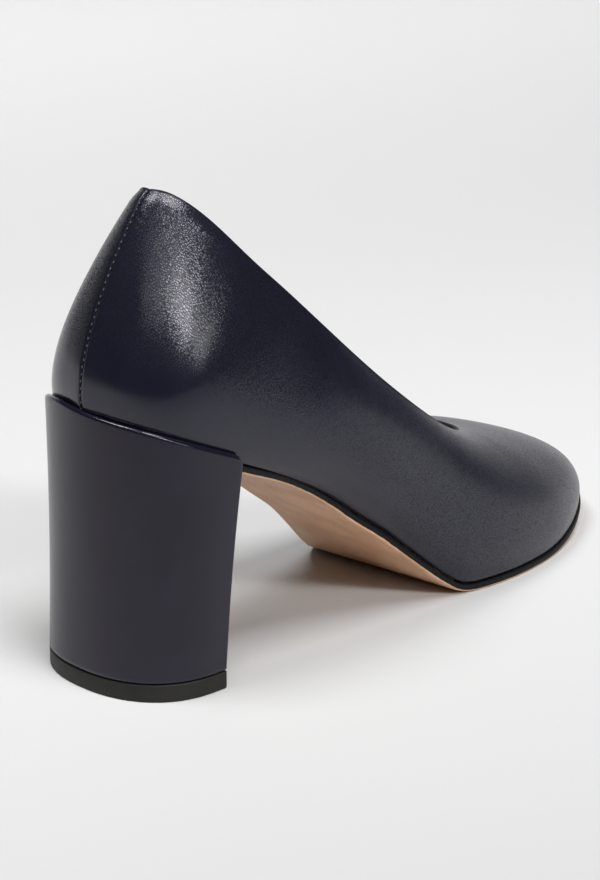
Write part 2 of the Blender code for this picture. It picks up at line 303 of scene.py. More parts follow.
def relief_of(places, round_row, from_seam, from_top):
    """How far the upper stands out from the last: roll, lean, seam and swells."""
    roll = ROLL_HEIGHT * (ROLL_FAR + (1 - ROLL_FAR) * np.exp(-(from_seam / ROLL_REACH)**2))
    relief = roll * (ROLL_STAND * np.exp(-from_top / ROLL_EASE)
                     - np.exp(-(from_top / ROLL_BAND)**2))
    belly = 1 - np.exp(-(from_seam / LEAN_START)**2)
    lean = LEAN_IN * (LEAN_AT_SEAM + (1 - LEAN_AT_SEAM) * belly)
    relief += lean * (belly * np.exp(-(from_top / LEAN_EASE)**2)
                      - np.exp(-(from_top / LEAN_BAND)**2))
    relief += SEAM_RIDGE * (1 - from_seam / SEAM_RIDGE_REACH).clip(0)**SEAM_RIDGE_POWER
    relief -= SEAM_DEPTH * np.exp(-(from_seam / SEAM_HALF)**2)
    for swell in SWELLS:
        below = (from_top - swell.below) / swell.down
        for place in (swell.place, ROWS_ROUND - swell.place):
            middle = np.abs(places - place).argmin()
            aside = (round_row - round_row[:, [middle]]) / swell.along
            relief += swell.height * np.exp(-aside**2 - below**2)
    return relief


def upper_sheet(places, shares, margin):
    """The upper's outer face with its relief, spaced by shares up each section.

    margin is left free at both edges, for the rounding of the leather.
    """
    fine = wall(places, np.linspace(0, 1, WALL_SAMPLES))
    along = np.zeros(fine.shape[:2])
    along[1:] = np.cumsum(np.linalg.norm(np.diff(fine, axis=0), axis=2), axis=0)
    length = along[-1]
    position = margin + (length - 2 * margin) * shares[:, None]
    points = np.empty((len(shares), len(places), 3))
    for k in range(len(places)):
        for axis in range(3):
            points[:, k, axis] = np.interp(position[:, k], along[:, k], fine[:, k, axis])
    steps = np.linalg.norm(np.roll(points, -1, axis=1) - points, axis=2)
    round_row = np.cumsum(steps, axis=1) - steps
    from_seam = np.minimum(round_row, steps.sum(axis=1)[:, None] - round_row)
    from_top = length - position
    relief = relief_of(places, round_row, from_seam, from_top)
    points = points + sheet_axes(points)[0] * relief[:, :, None]
    normal, up = sheet_axes(points)
    return Sheet(points, normal, up, from_top, position, position / length, from_seam)


def ring_faces(rings, count, closed=False):
    """Quads between successive closed rings of count points, facing away from the middle."""
    faces = []
    for ring in range(rings if closed else rings - 1):
        near = ring * count
        far = (ring + 1) % rings * count
        for k in range(count):
            following = (k + 1) % count
            faces.append((near + k, near + following, far + following, far + k))
    return faces


def shoe_piece(name, points, faces, finish, values=None):
    """A smooth mesh in the frame of the solids, with one number a point for each of values."""
    mesh = bpy.data.meshes.new(name)
    mesh.from_pydata(((np.asarray(points) + HEEL_POINT) * MM).tolist(), [], faces)
    for label, numbers in (values or {}).items():
        mesh.attributes.new(label, "FLOAT", "POINT").data.foreach_set("value", np.ravel(numbers))
    mesh.materials.append(finish)
    mesh.shade_smooth()
    piece = bpy.data.objects.new(name, mesh)
    bpy.context.scene.collection.objects.link(piece)
    return piece


def edge_round(outer, inner, away, steps):
    """Rows of a half round from outer to inner, bulging to the away side."""
    middle = (outer + inner) / 2
    arm = (outer - inner) / 2
    bulge = away * np.linalg.norm(arm, axis=1)[:, None]
    return [middle + arm * math.cos(turn) + bulge * math.sin(turn)
            for turn in np.linspace(0, math.pi, steps + 2)[1:-1]]


def shell(name, sheet, front, back, finish, extra=None):
    """A closed wall between two depths behind the upper's face, with rounded edges."""
    face = sheet.points - front * sheet.normal
    rear = sheet.points - back * sheet.normal
    over = edge_round(face[-1], rear[-1], sheet.up[-1], EDGE_STEPS)
    under = edge_round(rear[0], face[0], -sheet.up[0], EDGE_STEPS)
    rows = list(face) + over + list(rear[::-1]) + under
    count = face.shape[1]
    order = list(range(len(face)))
    order += [len(face) - 1] * EDGE_STEPS + order[::-1] + [0] * EDGE_STEPS
    values = {label: numbers[order] for label, numbers in (extra or {}).items()}
    return shoe_piece(name, np.concatenate(rows), ring_faces(len(rows), count, closed=True),
                      finish, values)


def wall_places():
    """Places round the last, crowded at the back seam."""
    near = np.linspace(0, 1, SEAM_STEPS + 1)[:-1] ** SEAM_CROWDING
    sides = np.linspace(1, ROWS_ROUND - 1, SIDE_PLACES)
    return np.concatenate([near, sides, ROWS_ROUND - near[:0:-1]])


def crowd_ends(count, share):
    """Numbers from 0 to 1 that lie closer together at both ends."""
    even = np.linspace(0, 1, count)
    return (1 - share) * even + share * (0.5 - 0.5 * np.cos(math.pi * even))


def build_upper(finish):
    """The leather upper, from its lasted edge to the folded topline."""
    sheet = upper_sheet(wall_places(), crowd_ends(WALL_ROWS, WALL_CROWDING), LEATHER / 2)
    upper = shell("nappa_upper", sheet, 0.0, LEATHER, finish,
                  {"up_wall": sheet.share, "from_seam": sheet.from_seam,
                   "from_top": sheet.from_top})
    return upper, sheet


def build_lining(finish):
    """The lining behind the upper, cut a little below its fold."""
    places = np.arange(0, ROWS_ROUND, LINING_STEP)
    sheet = upper_sheet(places, crowd_ends(LINING_ROWS, LINING_CROWDING), LINING_DROP)
    return shell("upper_lining", sheet, LINING_BACK, LINING_FACE, finish)


def inset(loop, distance):
    """A closed plan loop moved inward all round, with mitred corners."""
    before = unit(loop - np.roll(loop, 1, axis=0))
    after = unit(np.roll(loop, -1, axis=0) - loop)
    inner_before = np.column_stack([-before[:, 1], before[:, 0]])
    inner_after = np.column_stack([-after[:, 1], after[:, 0]])
    reach = 1 + (inner_before * inner_after).sum(axis=1)
    return loop + distance * (inner_before + inner_after) / reach[:, None]


def strips(lines, upward):
    """Faces between successive lines of point numbers that run across a plate."""
    faces = []
    columns = max(len(line) for line in lines) - 1
    for behind, before in zip(lines, lines[1:]):
        for j in range(columns):
            corners = [behind[min(j, len(behind) - 1)], before[min(j, len(before) - 1)],
                       before[min(j + 1, len(before) - 1)], behind[min(j + 1, len(behind) - 1)]]
            corners = list(dict.fromkeys(corners))
            faces.append(corners if upward else corners[::-1])
    return faces


PlateRing = namedtuple("PlateRing", "inside height")


def plate(name, loop, lines, rings, finish):
    """A plate that follows the seat: rings from its underside round its edge to its top.

    loop is its outline in plan, and lines the numbers of its points, in strips from the back to
    the toe. Each line is a pair of points, one point, or all the points along a straight end.
    Its points carry rim, the way in from the middle of the edge over the underside.
    """
    points = []
    rim = []
    middle = (rings[0].height + rings[-1].height) / 2
    for ring in rings:
        points.extend(on_seat(inset(loop, ring.inside), ring.height))
        below = middle - ring.height
        rim.extend([ring.inside + below if below > 0 else 0.0] * len(loop))
    faces = ring_faces(len(rings), len(loop))
    for number, upward in ((0, False), (len(rings) - 1, True)):
        start = number * len(loop)
        plan = inset(loop, rings[number].inside)
        across = []
        for line in lines:
            if len(line) != 2:
                across.append([start + k for k in line])
                continue
            ends = plan[list(line)]
            shares = np.linspace(0, 1, PLATE_COLUMNS + 1)[1:-1, None]
            between = ends[0] * (1 - shares) + ends[1] * shares
            across.append([start + line[0], *range(len(points), len(points) + len(between)),
                           start + line[1]])
            points.extend(on_seat(between, rings[number].height))
            from_edge = np.linalg.norm(ends[1] - ends[0]) * np.minimum(shares, 1 - shares)
            rim.extend([0.0] * len(between) if upward else rings[number].inside + from_edge[:, 0])
        faces.extend(strips(across, upward))
    return shoe_piece(name, points, faces, finish, {"rim": rim})


def build_sock(finish):
    """Board and sock inside the upper, out to the lining, which leans away from it at the waist."""
    places = np.arange(0, ROWS_ROUND, PLATE_STEP)
    bulge, rise = row_values(places, "bulge", "rise")
    flare = ((bulge / rise - SOCK_FLARE_FROM) / SOCK_FLARE_RANGE).clip(0, 1)
    reach = SOCK_RIM - SOCK_FLARE * flare
    loop = feather(places)[:, :2] - outward(feather, places) * reach[:, None]
    half = len(loop) // 2
    lines = [(0,)] + [(k, len(loop) - k) for k in range(1, half)] + [(half,)]
    low = GAP
    top = GAP + SOCK_THICK
    under = SOCK_INSET - SOCK_RIM
    rings = (PlateRing(under + 1.0, low), PlateRing(under, low), PlateRing(under - 0.1, low + 0.3),
             PlateRing(0.15, top - 0.4), PlateRing(0.0, top - 0.05), PlateRing(0.12, top + 0.22),
             PlateRing(0.4, top + 0.28), PlateRing(0.9, top + 0.22), PlateRing(1.8, top + 0.08),
             PlateRing(3.2, top))
    return plate("sock", loop, lines, rings, finish)


def build_sole(finish):
    """The thin leather sole from the heel breast to the toe."""
    places = np.arange(BREAST_ROW, ROWS_ROUND - BREAST_ROW + PLATE_STEP / 2, PLATE_STEP)
    loop = feather(places)[:, :2] + outward(feather, places) * SOLE_EDGE
    count = len(loop)
    shares = np.linspace(0, 1, PLATE_COLUMNS + 1)[1:-1, None]
    loop = np.concatenate([loop, loop[-1] * (1 - shares) + loop[0] * shares])
    half = count // 2
    breast = (0, *range(len(loop) - 1, count - 1, -1), count - 1)
    lines = [breast] + [(k, count - 1 - k) for k in range(1, half)] + [(half,)]
    low = -SOLE_THICK
    # The top face takes the edge's black paint, with a low ridge at 2.0 to 2.6 mm in. This black is
    # partly the edge's own paint, and where it shows in the gap under the upper's rounded foot it is
    # painted shade.
    rings = (PlateRing(3.0, low), PlateRing(1.5, low), PlateRing(0.9, low + 0.04),
             PlateRing(0.45, low + 0.18), PlateRing(0.15, low + 0.45), PlateRing(0.02, low + 0.8),
             PlateRing(0.0, low + 1.3), PlateRing(0.0, -0.5), PlateRing(0.1, -0.2),
             PlateRing(0.35, -0.03), PlateRing(0.8, 0.0), PlateRing(1.6, 0.02),
             PlateRing(2.0, 0.26), PlateRing(2.6, 0.26), PlateRing(3.0, 0.0))
    return plate("leather_sole", loop, lines, rings, finish)


def spread(points, count):
    """count points at equal distances along a polyline."""
    points = np.asarray(points)
    along = np.concatenate([[0], np.cumsum(np.linalg.norm(np.diff(points, axis=0), axis=1))])
    places = np.linspace(0, along[-1], count)
    return np.column_stack([np.interp(places, along, column) for column in points.T])


def turned(points, angle):
    """Plan points turned about the origin."""
    cos, sin = math.cos(angle), math.sin(angle)
    return np.column_stack([points[:, 0] * cos - points[:, 1] * sin,
                            points[:, 0] * sin + points[:, 1] * cos])


def heel_foot_side():
    """The curved side of the D at the heel's foot, from inner to outer corner, in heel axes."""
    angle = np.linspace(-math.pi / 2, math.pi / 2, 4 * HEEL_SIDE)
    power = 2 / HEEL_SQUARENESS
    across = -HEEL_FOOT_HALF * np.sign(np.sin(angle)) * np.abs(np.sin(angle))**power
    along = HEEL_FOOT_ROUND * (1 - np.cos(angle).clip(0, 1)**power)
    ends = ([HEEL_FOOT_LENGTH, HEEL_FOOT_HALF], [HEEL_FOOT_LENGTH, -HEEL_FOOT_HALF])
    return spread([ends[0], *np.column_stack([along, across]), ends[1]], HEEL_SIDE)


def heel_point():
    """Where the solids put the heel's rearmost point on the floor, in millimetres."""
    own_low = turned(heel_foot_side(), -HEEL_TURN).min(axis=0)
    solid_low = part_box("top_piece")[0]
    return np.array([solid_low.x / MM - own_low[0], solid_low.y / MM - own_low[1], 0.0])


def lip_height(across):
    """The lip's height above the seat, which rises round the back from the outer side."""
    step = np.tanh((across - LIP_STEP_AT) / LIP_STEP_REACH)
    return LIP_OUTER + (LIP_INNER - LIP_OUTER) * (1 + step) / 2


def heel_top_side():
    """The lip's outside: the upper's own face at lip height, moved out by gap and lip."""
    places = np.linspace(-BREAST_ROW, BREAST_ROW, HEEL_SIDE)
    levels = wall(places, np.linspace(0, 0.3, LIP_SAMPLES))
    face = []
    for k in range(len(places)):
        height = levels[:, k, 2] - levels[0, k, 2]
        lip = lip_height(levels[0, k, 1])
        face.append([np.interp(lip, height, levels[:, k, axis]) for axis in (0, 1)])
    side = turned(np.array(face) + outward(feather, places) * (GAP + LIP_WALL), HEEL_TURN)
    side[:, 0] = side[:, 0].clip(max=BREAST_TOP)
    side[[0, -1], 0] = BREAST_TOP
    return spread(side, HEEL_SIDE)


def corner_arc(corner, from_dir, to_dir, radius):
    """Points of the arc that rounds a corner between two directions that leave it."""
    half = math.acos(np.clip(from_dir @ to_dir, -1, 1)) / 2
    middle = corner + unit(from_dir + to_dir) * radius / math.sin(half)
    start = corner + from_dir * radius / math.tan(half) - middle
    end = corner + to_dir * radius / math.tan(half) - middle
    shares = np.linspace(0, 1, CORNER_STEPS)[:, None]
    sweep = math.pi - 2 * half
    arm = np.sin((1 - shares) * sweep) * start + np.sin(shares * sweep) * end
    return middle + arm / math.sin(sweep)


def heel_outline(side, inside=0.0):
    """A heel outline moved inward, closed by the straight breast and with rounded corners."""
    shares = np.linspace(0, 1, HEEL_BREAST + 2)[1:-1, None]
    breast = side[-1] * (1 - shares) + side[0] * shares
    side = inset(np.concatenate([side, breast]), inside)[:len(side)]
    radius = max(HEEL_CORNER - inside, HEEL_CORNER_LEAST)
    across = unit(side[0] - side[-1])
    along = [unit(side[4] - side[0]), unit(side[-5] - side[-1])]
    last = corner_arc(side[-1], along[1], across, radius)
    first = corner_arc(side[0], -across, along[0], radius)
    inner = side[1:-1]
    keep = ((np.linalg.norm(inner - side[0], axis=1) > 1.5 * radius)
            & (np.linalg.norm(inner - side[-1], axis=1) > 1.5 * radius))
    curve = spread([first[-1], *inner[keep], last[0]], HEEL_SIDE)
    breast = last[-1] * (1 - shares) + first[0] * shares
    return np.concatenate([curve, last[1:], breast, first[:-1]])


def heel_ring(outline, height):
    """A ring of the heel at a height, in the shoe's axes."""
    return np.column_stack([turned(outline, -HEEL_TURN), np.broadcast_to(height, len(outline))])


def stack(name, rings, finish, values=None):
    """A closed solid from rings, bottom to top, with flat ends."""
    count = len(rings[0])
    faces = ring_faces(len(rings), count)
    faces.append(tuple(range(count))[::-1])
    faces.append(tuple(range((len(rings) - 1) * count, len(rings) * count)))
    return shoe_piece(name, np.concatenate(rings), faces, finish, values)


def build_heel(finish):
    """The covered heel: a loft from its foot to a rounded lip that cups the upper."""
    foot_side = heel_foot_side()
    top_side = heel_top_side()
    top = heel_outline(top_side)
    share = np.sqrt(1 - (1 - ((BREAST_TOP - top[:, 0]) / LIP_CORNER).clip(0, 1))**2)
    foot_height = LIFT_THICK + GAP
    seat = sole_top(turned(top, -HEEL_TURN)[:, 0])
    lip = lip_height(turned(top, -HEEL_TURN)[:, 1])
    shoulder = seat + share * (lip - LIP_CROWN) - (1 - share) * BREAST_EASE
    rings = [heel_ring(heel_outline(foot_side, inside), foot_height + above)
             for inside, above in HEEL_EDGE]
    low = foot_height + HEEL_EDGE_HEIGHT
    for t in crowd_ends(HEEL_LEVELS, HEEL_CROWDING):
        outline = heel_outline(foot_side + t * (top_side - foot_side),
                               HEEL_HOLLOW * math.sin(math.pi * t))
        rings.append(heel_ring(outline, low + t * (shoulder - low)))
    profile = []
    lip_start = len(rings)
    inner_round = LIP_WALL - LIP_CROWN
    for turn in np.linspace(0, math.pi / 2, LIP_STEPS)[1:]:
        profile.append((LIP_CROWN * (1 - math.cos(turn)), LIP_CROWN * (1 - math.sin(turn))))
    for turn in np.linspace(0, LIP_INNER_TURN, LIP_STEPS)[1:]:
        profile.append((LIP_CROWN + inner_round * math.sin(turn),
                        inner_round * (1 - math.cos(turn))))
    profile.append((LIP_WALL + LIP_UNDERCUT, lip))
    profile.append((LIP_WALL + LIP_UNDERCUT + 1.0, lip))
    for number, (inside, below) in enumerate(profile):
        outline = heel_outline(top_side, inside)
        base = sole_top(turned(outline, -HEEL_TURN)[:, 0])
        ease = BREAST_EASE * max(0.0, 1 - (number + 1) / LIP_STEPS)
        rings.append(heel_ring(outline, base + share * (lip - below) - (1 - share) * ease))
    polished = np.repeat(np.arange(len(rings)) >= lip_start, len(top)).astype(float)
    return stack("covered_heel", rings, finish, {"polished": polished})


def build_lift(finish):
    """The rubber lift: the D of the heel's foot, with its edges eased."""
    side = heel_foot_side()
    profile = ((2.0, 0.0), (0.5, 0.0), (0.2, 0.06), (0.06, 0.2), (0.0, 0.45),
               (0.0, LIFT_THICK - 0.4), (0.06, LIFT_THICK - 0.18), (0.2, LIFT_THICK - 0.05),
               (0.45, LIFT_THICK), (2.0, LIFT_THICK))
    rings = [heel_ring(heel_outline(side, inside), height) for inside, height in profile]
    return stack("rubber_lift", rings, finish)


class Socket:
    """An output of a node, for use in Python expressions."""

    def __init__(self, tree, socket=None):
        self.tree = tree
        self.socket = socket

    def node(self, kind, settings=None, sockets=None, output=0):
        """An output of a new node, after its settings and then its sockets are set."""
        made = self.tree.nodes.new(kind)
        for name, value in (settings or {}).items():
            setattr(made, name, value)
        for name, value in (sockets or {}).items():
            self.feed(made.inputs[name], value)
        return Socket(self.tree, made.outputs[output])

    def feed(self, target, value):
        """Link an output to an input, or set the input's value."""
        if isinstance(value, Socket):
            self.tree.links.new(value.socket, target)
        else:
            target.default_value = value

    def math(self, operation, *values):
        return self.node("ShaderNodeMath", {"operation": operation}, dict(enumerate(values)))

    def __add__(self, other):
        return self.math("ADD", self, other)

    def __sub__(self, other):
        return self.math("SUBTRACT", self, other)

    def __rsub__(self, other):
        return self.math("SUBTRACT", other, self)

    def __mul__(self, other):
        return self.math("MULTIPLY", self, other)

    __radd__ = __add__
    __rmul__ = __mul__

    def ramp(self, low, high):
        """0 below low, 1 above high, and smooth between."""
        return self.node("ShaderNodeMapRange", {"interpolation_type": "SMOOTHSTEP"},
                         {"Value": self, "From Min": low, "From Max": high})

    def blend(self, first, second):
        """The colour first where this is 0 and second where it is 1."""
        return self.node("ShaderNodeMix", {"data_type": "RGBA"}, {0: self, 6: first, 7: second}, 2)

    def noise(self, size, detail=2.0, roughness=0.5):
        """Noise whose patches are about size across, from a vector in millimetres."""
        return self.node("ShaderNodeTexNoise", None, {
            "Vector": self, "Scale": 1 / size, "Detail": detail, "Roughness": roughness})


class Finish:
    """A material whose pattern is in millimetres of the shoe's own frame."""

    def __init__(self, name, constants):
        self.material = bpy.data.materials.new(name)
        self.material.use_nodes = True
        tree = self.material.node_tree
        self.surface = tree.nodes["Principled BSDF"]
        self.start = Socket(tree)
        for label, value in constants.items():
            self.surface.inputs[label].default_value = value
        place = self.start.node("ShaderNodeTexCoord", output=3)
        self.place = place.node("ShaderNodeVectorMath", {"operation": "SCALE"},
                                {0: place, "Scale": 1 / MM})

    def value(self, label):
        """A number that the piece carries at each point."""
        return self.start.node("ShaderNodeAttribute", {"attribute_name": label}, output=2)

    def stretched(self, x, y, z):
        """The place in millimetres with its axes scaled."""
        return self.start.node("ShaderNodeMapping", None, {"Vector": self.place, "Scale": (x, y, z)})

    def bump(self, height, depth, below=None):
        """A normal from a height of 0 to 1 that stands for depth millimetres."""
        sockets = {"Strength": 1.0, "Distance": depth * MM, "Height": height}
        if below is not None:
            sockets["Normal"] = below
        return self.start.node("ShaderNodeBump", None, sockets)

    def shade(self, share):
        """Mix in a matt dark shader where share is 1: painted shade, as in the depth of a crease."""
        painted_shade = self.start.node("ShaderNodeBsdfPrincipled", None, {
            "Base Color": NAPPA_SHADE, "Roughness": 0.7, "Specular IOR Level": 0.1})
        surface = Socket(self.start.tree, self.surface.outputs[0])
        mixed = surface.node("ShaderNodeMixShader", None, {0: share, 1: surface, 2: painted_shade})
        output = self.start.tree.nodes["Material Output"]
        self.start.tree.links.new(mixed.socket, output.inputs["Surface"])

    def feed(self, **inputs):
        """Link the surface's inputs, whose names have _ for spaces."""
        for label, value in inputs.items():
            self.start.feed(self.surface.inputs[label.replace("_", " ")], value)
        return self.material


# The way the grain is drawn out on the last, back and up, and how wide its creases open
GRAIN_TURN = (math.radians(-20.0), math.radians(-22.5), 0.0)
GRAIN_STRETCH = 1.6
PEBBLE_RISE = 0.40

# Distance from the back seam over which the quarters pass into the vamp
VAMP = (95.0, 150.0)

# Tones of the finishes, in linear light
NAPPA_DARK = (0.0085, 0.0090, 0.0190, 1)
NAPPA_LIGHT = (0.0110, 0.0115, 0.0240, 1)
# painted shade: the darker tone of the grain's creases
NAPPA_CREASE_SHADE = (0.0030, 0.0032, 0.0080, 1)
# painted shade: the matt dark mixed into creases, the seam's groove and the topline's edge
NAPPA_SHADE = (0.005, 0.005, 0.009, 1)
NAPPA_GLOSS = (0.94, 0.92, 1.0, 1)
# painted shade in the back seam's groove
SEAM_GROOVE_SHADE = (0.0015, 0.0015, 0.0026, 1)
HEEL_DARK = (0.0062, 0.0057, 0.0120, 1)
HEEL_LIGHT = (0.0080, 0.0073, 0.0155, 1)
HEEL_GLOSS = (0.97, 0.92, 1.0, 1)
TAN_DARK = (0.67, 0.38, 0.22, 1)
TAN_LIGHT = (0.84, 0.535, 0.35, 1)
TAN_FIBRE = (0.44, 0.25, 0.16, 1)
TAN_SCUFF = (0.24, 0.15, 0.12, 1)
EDGE_PAINT = (0.0050, 0.0050, 0.0050, 1)
LINING_TONES = ((0.42, 0.27, 0.18), (0.50, 0.34, 0.24))
SOCK_TONES = ((0.45, 0.29, 0.20), (0.53, 0.36, 0.26))
RUBBER_DARK = (0.0080, 0.0076, 0.0062, 1)
RUBBER_LIGHT = (0.0120, 0.0114, 0.0092, 1)
RUBBER_SPECK = (0.020, 0.019, 0.016, 1)
THREAD_DARK = (0.05, 0.05, 0.06, 1)
THREAD_LIGHT = (0.10, 0.10, 0.12, 1)


def grain_cells(finish, size, spread_by):
    """Distance from the creases of a fine leather grain, about half a pebble at most."""
    wander = finish.place.node("ShaderNodeTexNoise", None, {
        "Vector": finish.place, "Scale": 0.3 / size, "Detail": 2.0}, 1)
    drawn = finish.start.node("ShaderNodeMapping", {"vector_type": "TEXTURE"}, {
        "Vector": finish.place, "Rotation": GRAIN_TURN, "Scale": (1.0, 1.0, GRAIN_STRETCH)})
    bent = wander.node("ShaderNodeVectorMath", {"operation": "MULTIPLY_ADD"},
                       {0: wander, 1: (size * spread_by,) * 3, 2: drawn})
    return bent.node("ShaderNodeTexVoronoi", {"feature": "DISTANCE_TO_EDGE"},
                     {"Vector": bent, "Scale": 1 / size})


def nappa_finish():
    """Fine-grained navy nappa of the upper."""
    finish = Finish("navy_nappa", {"IOR": 1.54, "Specular Tint": NAPPA_GLOSS,
                                   "Coat Roughness": 0.22, "Coat IOR": 1.45})
    share = finish.value("up_wall")
    seam = finish.value("from_seam")
    top = finish.value("from_top")
    vamp = seam.ramp(*VAMP)
    cells = grain_cells(finish, 0.56, 0.7)
    pebbles = cells.ramp(0.0, PEBBLE_RISE)
    pores = finish.place.noise(0.16, 3.0)
    back_grain = share.ramp(0.20, 0.46) * (1 - seam.ramp(45.0, 90.0) * 0.6) * 0.92 + 0.08
    open_grain = back_grain.math("MAXIMUM", back_grain, vamp * 0.5)
    cloud = finish.place.noise(14.0, 3.0)
    tone = cloud.ramp(0.3, 0.7).blend(NAPPA_DARK, NAPPA_LIGHT)
    # The grain's creases are painted darker: painted shade in the creases.
    tone = (pebbles.ramp(0.0, 0.6) * 0.5 + 0.5).blend(NAPPA_CREASE_SHADE, tone)
    # The back seam's groove is painted near-black, and below mixed with the matt dark: painted shade
    # in the groove.
    crease = 1 - seam.ramp(0.28, 0.6)
    tone = crease.blend(tone, SEAM_GROOVE_SHADE)
    rough = finish.place.noise(6.0, 3.0) * 0.04 + 0.16 + crease * 0.3 + vamp * 0.08
    strong = share.ramp(0.45, 0.70) * (1 - seam.ramp(12.0, 30.0)) * 0.9
    grain = finish.bump(pebbles * (open_grain + strong), 0.0115)
    grain = finish.bump(pores, 0.0015, grain)
    soft = finish.bump(finish.place.noise(5.0, 2.0), 0.035, grain)
    # Painted shade in the grain's creases, mixed in as the matt dark shader.
    gap_shade = (1 - cells.ramp(0.02, 0.20)) * open_grain * 0.75
    # The band within about a millimetre of the topline's edge is mixed with the matt dark: painted
    # shade along the fold.
    rim = (1 - top.ramp(0.7, 1.3)) * 0.8
    finish.shade(1 - (1 - gap_shade) * (1 - crease * 0.9) * (1 - rim))
    return finish.feed(Base_Color=tone, Roughness=rough, Normal=soft, Coat_Weight=pebbles * 0.12)


def heel_finish():
    """Smooth navy leather drawn over the heel, polished along the lip."""
    finish = Finish("navy_heel_leather", {"IOR": 1.43, "Specular Tint": HEEL_GLOSS,
                                          "Coat Roughness": 0.2, "Coat IOR": 1.45})
    pebbles = grain_cells(finish, 0.6, 0.9).ramp(0.0, PEBBLE_RISE)
    cloud = finish.place.noise(18.0, 3.0)
    tone = cloud.ramp(0.3, 0.7).blend(HEEL_DARK, HEEL_LIGHT)
    rough = finish.place.noise(8.0, 3.0) * 0.05 + 0.19 + (1 - pebbles) * 0.04
    rough = rough - finish.value("polished") * 0.13
    grain = finish.bump(pebbles, 0.012)
    grain = finish.bump(finish.place.noise(0.15, 3.0), 0.004, grain)
    soft = finish.bump(finish.place.noise(9.0, 2.0), 0.08, grain)
    return finish.feed(Base_Color=tone, Roughness=rough, Normal=soft, Coat_Weight=cloud * 0.12)


def sole_finish():
    """Tan sole leather with a few scuffs, and the black paint of its edge."""
    finish = Finish("tan_sole_leather", {"IOR": 1.3})
    rim = finish.value("rim")
    fibre = finish.stretched(0.35, 1.0, 0.35).noise(0.5, 4.0, 0.65)
    cloud = finish.place.noise(16.0, 3.0)
    tone = cloud.ramp(0.3, 0.72).blend(TAN_DARK, TAN_LIGHT)
    tone = (fibre.ramp(0.35, 0.75) * 0.2).blend(tone, TAN_FIBRE)
    streak = finish.stretched(0.12, 1.4, 0.12).noise(1.2, 3.0, 0.7)
    scuff = streak.ramp(0.66, 0.74) * finish.place.noise(7.0).ramp(0.5, 0.62)
    tone = (scuff * 0.7).blend(tone, TAN_SCUFF)
    wander = rim + finish.place.noise(2.2, 2.0) * 0.3
    paint = 1 - wander.ramp(0.75, 0.95)
    tone = paint.blend(tone, EDGE_PAINT)
    rough = fibre * 0.12 + 0.42 + paint * 0.10
    relief = finish.bump(fibre, 0.015)
    relief = finish.bump(1 - scuff, 0.04, relief)
    return finish.feed(Base_Color=tone, Roughness=rough, Normal=relief)


def lining_finish(name, dark, light):
    """Smooth lining leather."""
    finish = Finish(name, {"IOR": 1.45})
    cloud = finish.place.noise(12.0, 3.0)
    tone = cloud.ramp(0.3, 0.7).blend((*dark, 1), (*light, 1))
    pores = finish.place.noise(0.5, 4.0, 0.6)
    tone = (pores.ramp(0.5, 0.8) * 0.3).blend(tone, tuple(0.7 * c for c in dark) + (1,))
    rough = pores * 0.15 + 0.48
    relief = finish.bump(grain_cells(finish, 0.55, 0.8).ramp(0.0, PEBBLE_RISE), 0.015)
    relief = finish.bump(pores, 0.012, relief)
    return finish.feed(Base_Color=tone, Roughness=rough, Normal=relief)


def rubber_finish():
    """Dark olive-black rubber of the lift."""
    finish = Finish("lift_rubber", {"IOR": 1.4})
    cloud = finish.place.noise(9.0, 3.0)
    tone = cloud.ramp(0.3, 0.7).blend(RUBBER_DARK, RUBBER_LIGHT)
    speck = finish.place.noise(0.3, 3.0, 0.6)
    tone = (speck.ramp(0.55, 0.75) * 0.35).blend(tone, RUBBER_SPECK)
    return finish.feed(Base_Color=tone, Roughness=speck * 0.16 + 0.46,
                       Normal=finish.bump(speck, 0.02))


def thread_finish():
    """Navy thread, twisted."""
    finish = Finish("navy_thread", {"IOR": 1.55})
    twist = finish.place.noise(0.12, 2.0)
    tone = twist.blend(THREAD_DARK, THREAD_LIGHT)
    return finish.feed(Base_Color=tone, Roughness=twist * 0.12 + 0.22,
                       Normal=finish.bump(twist, 0.02))


STITCH_SIZES = {"Pitch": STITCH_PITCH * MM, "Length": STITCH_LENGTH * MM,
                "Width": STITCH_WIDTH * MM, "Zigzag": STITCH_ZIGZAG * MM}


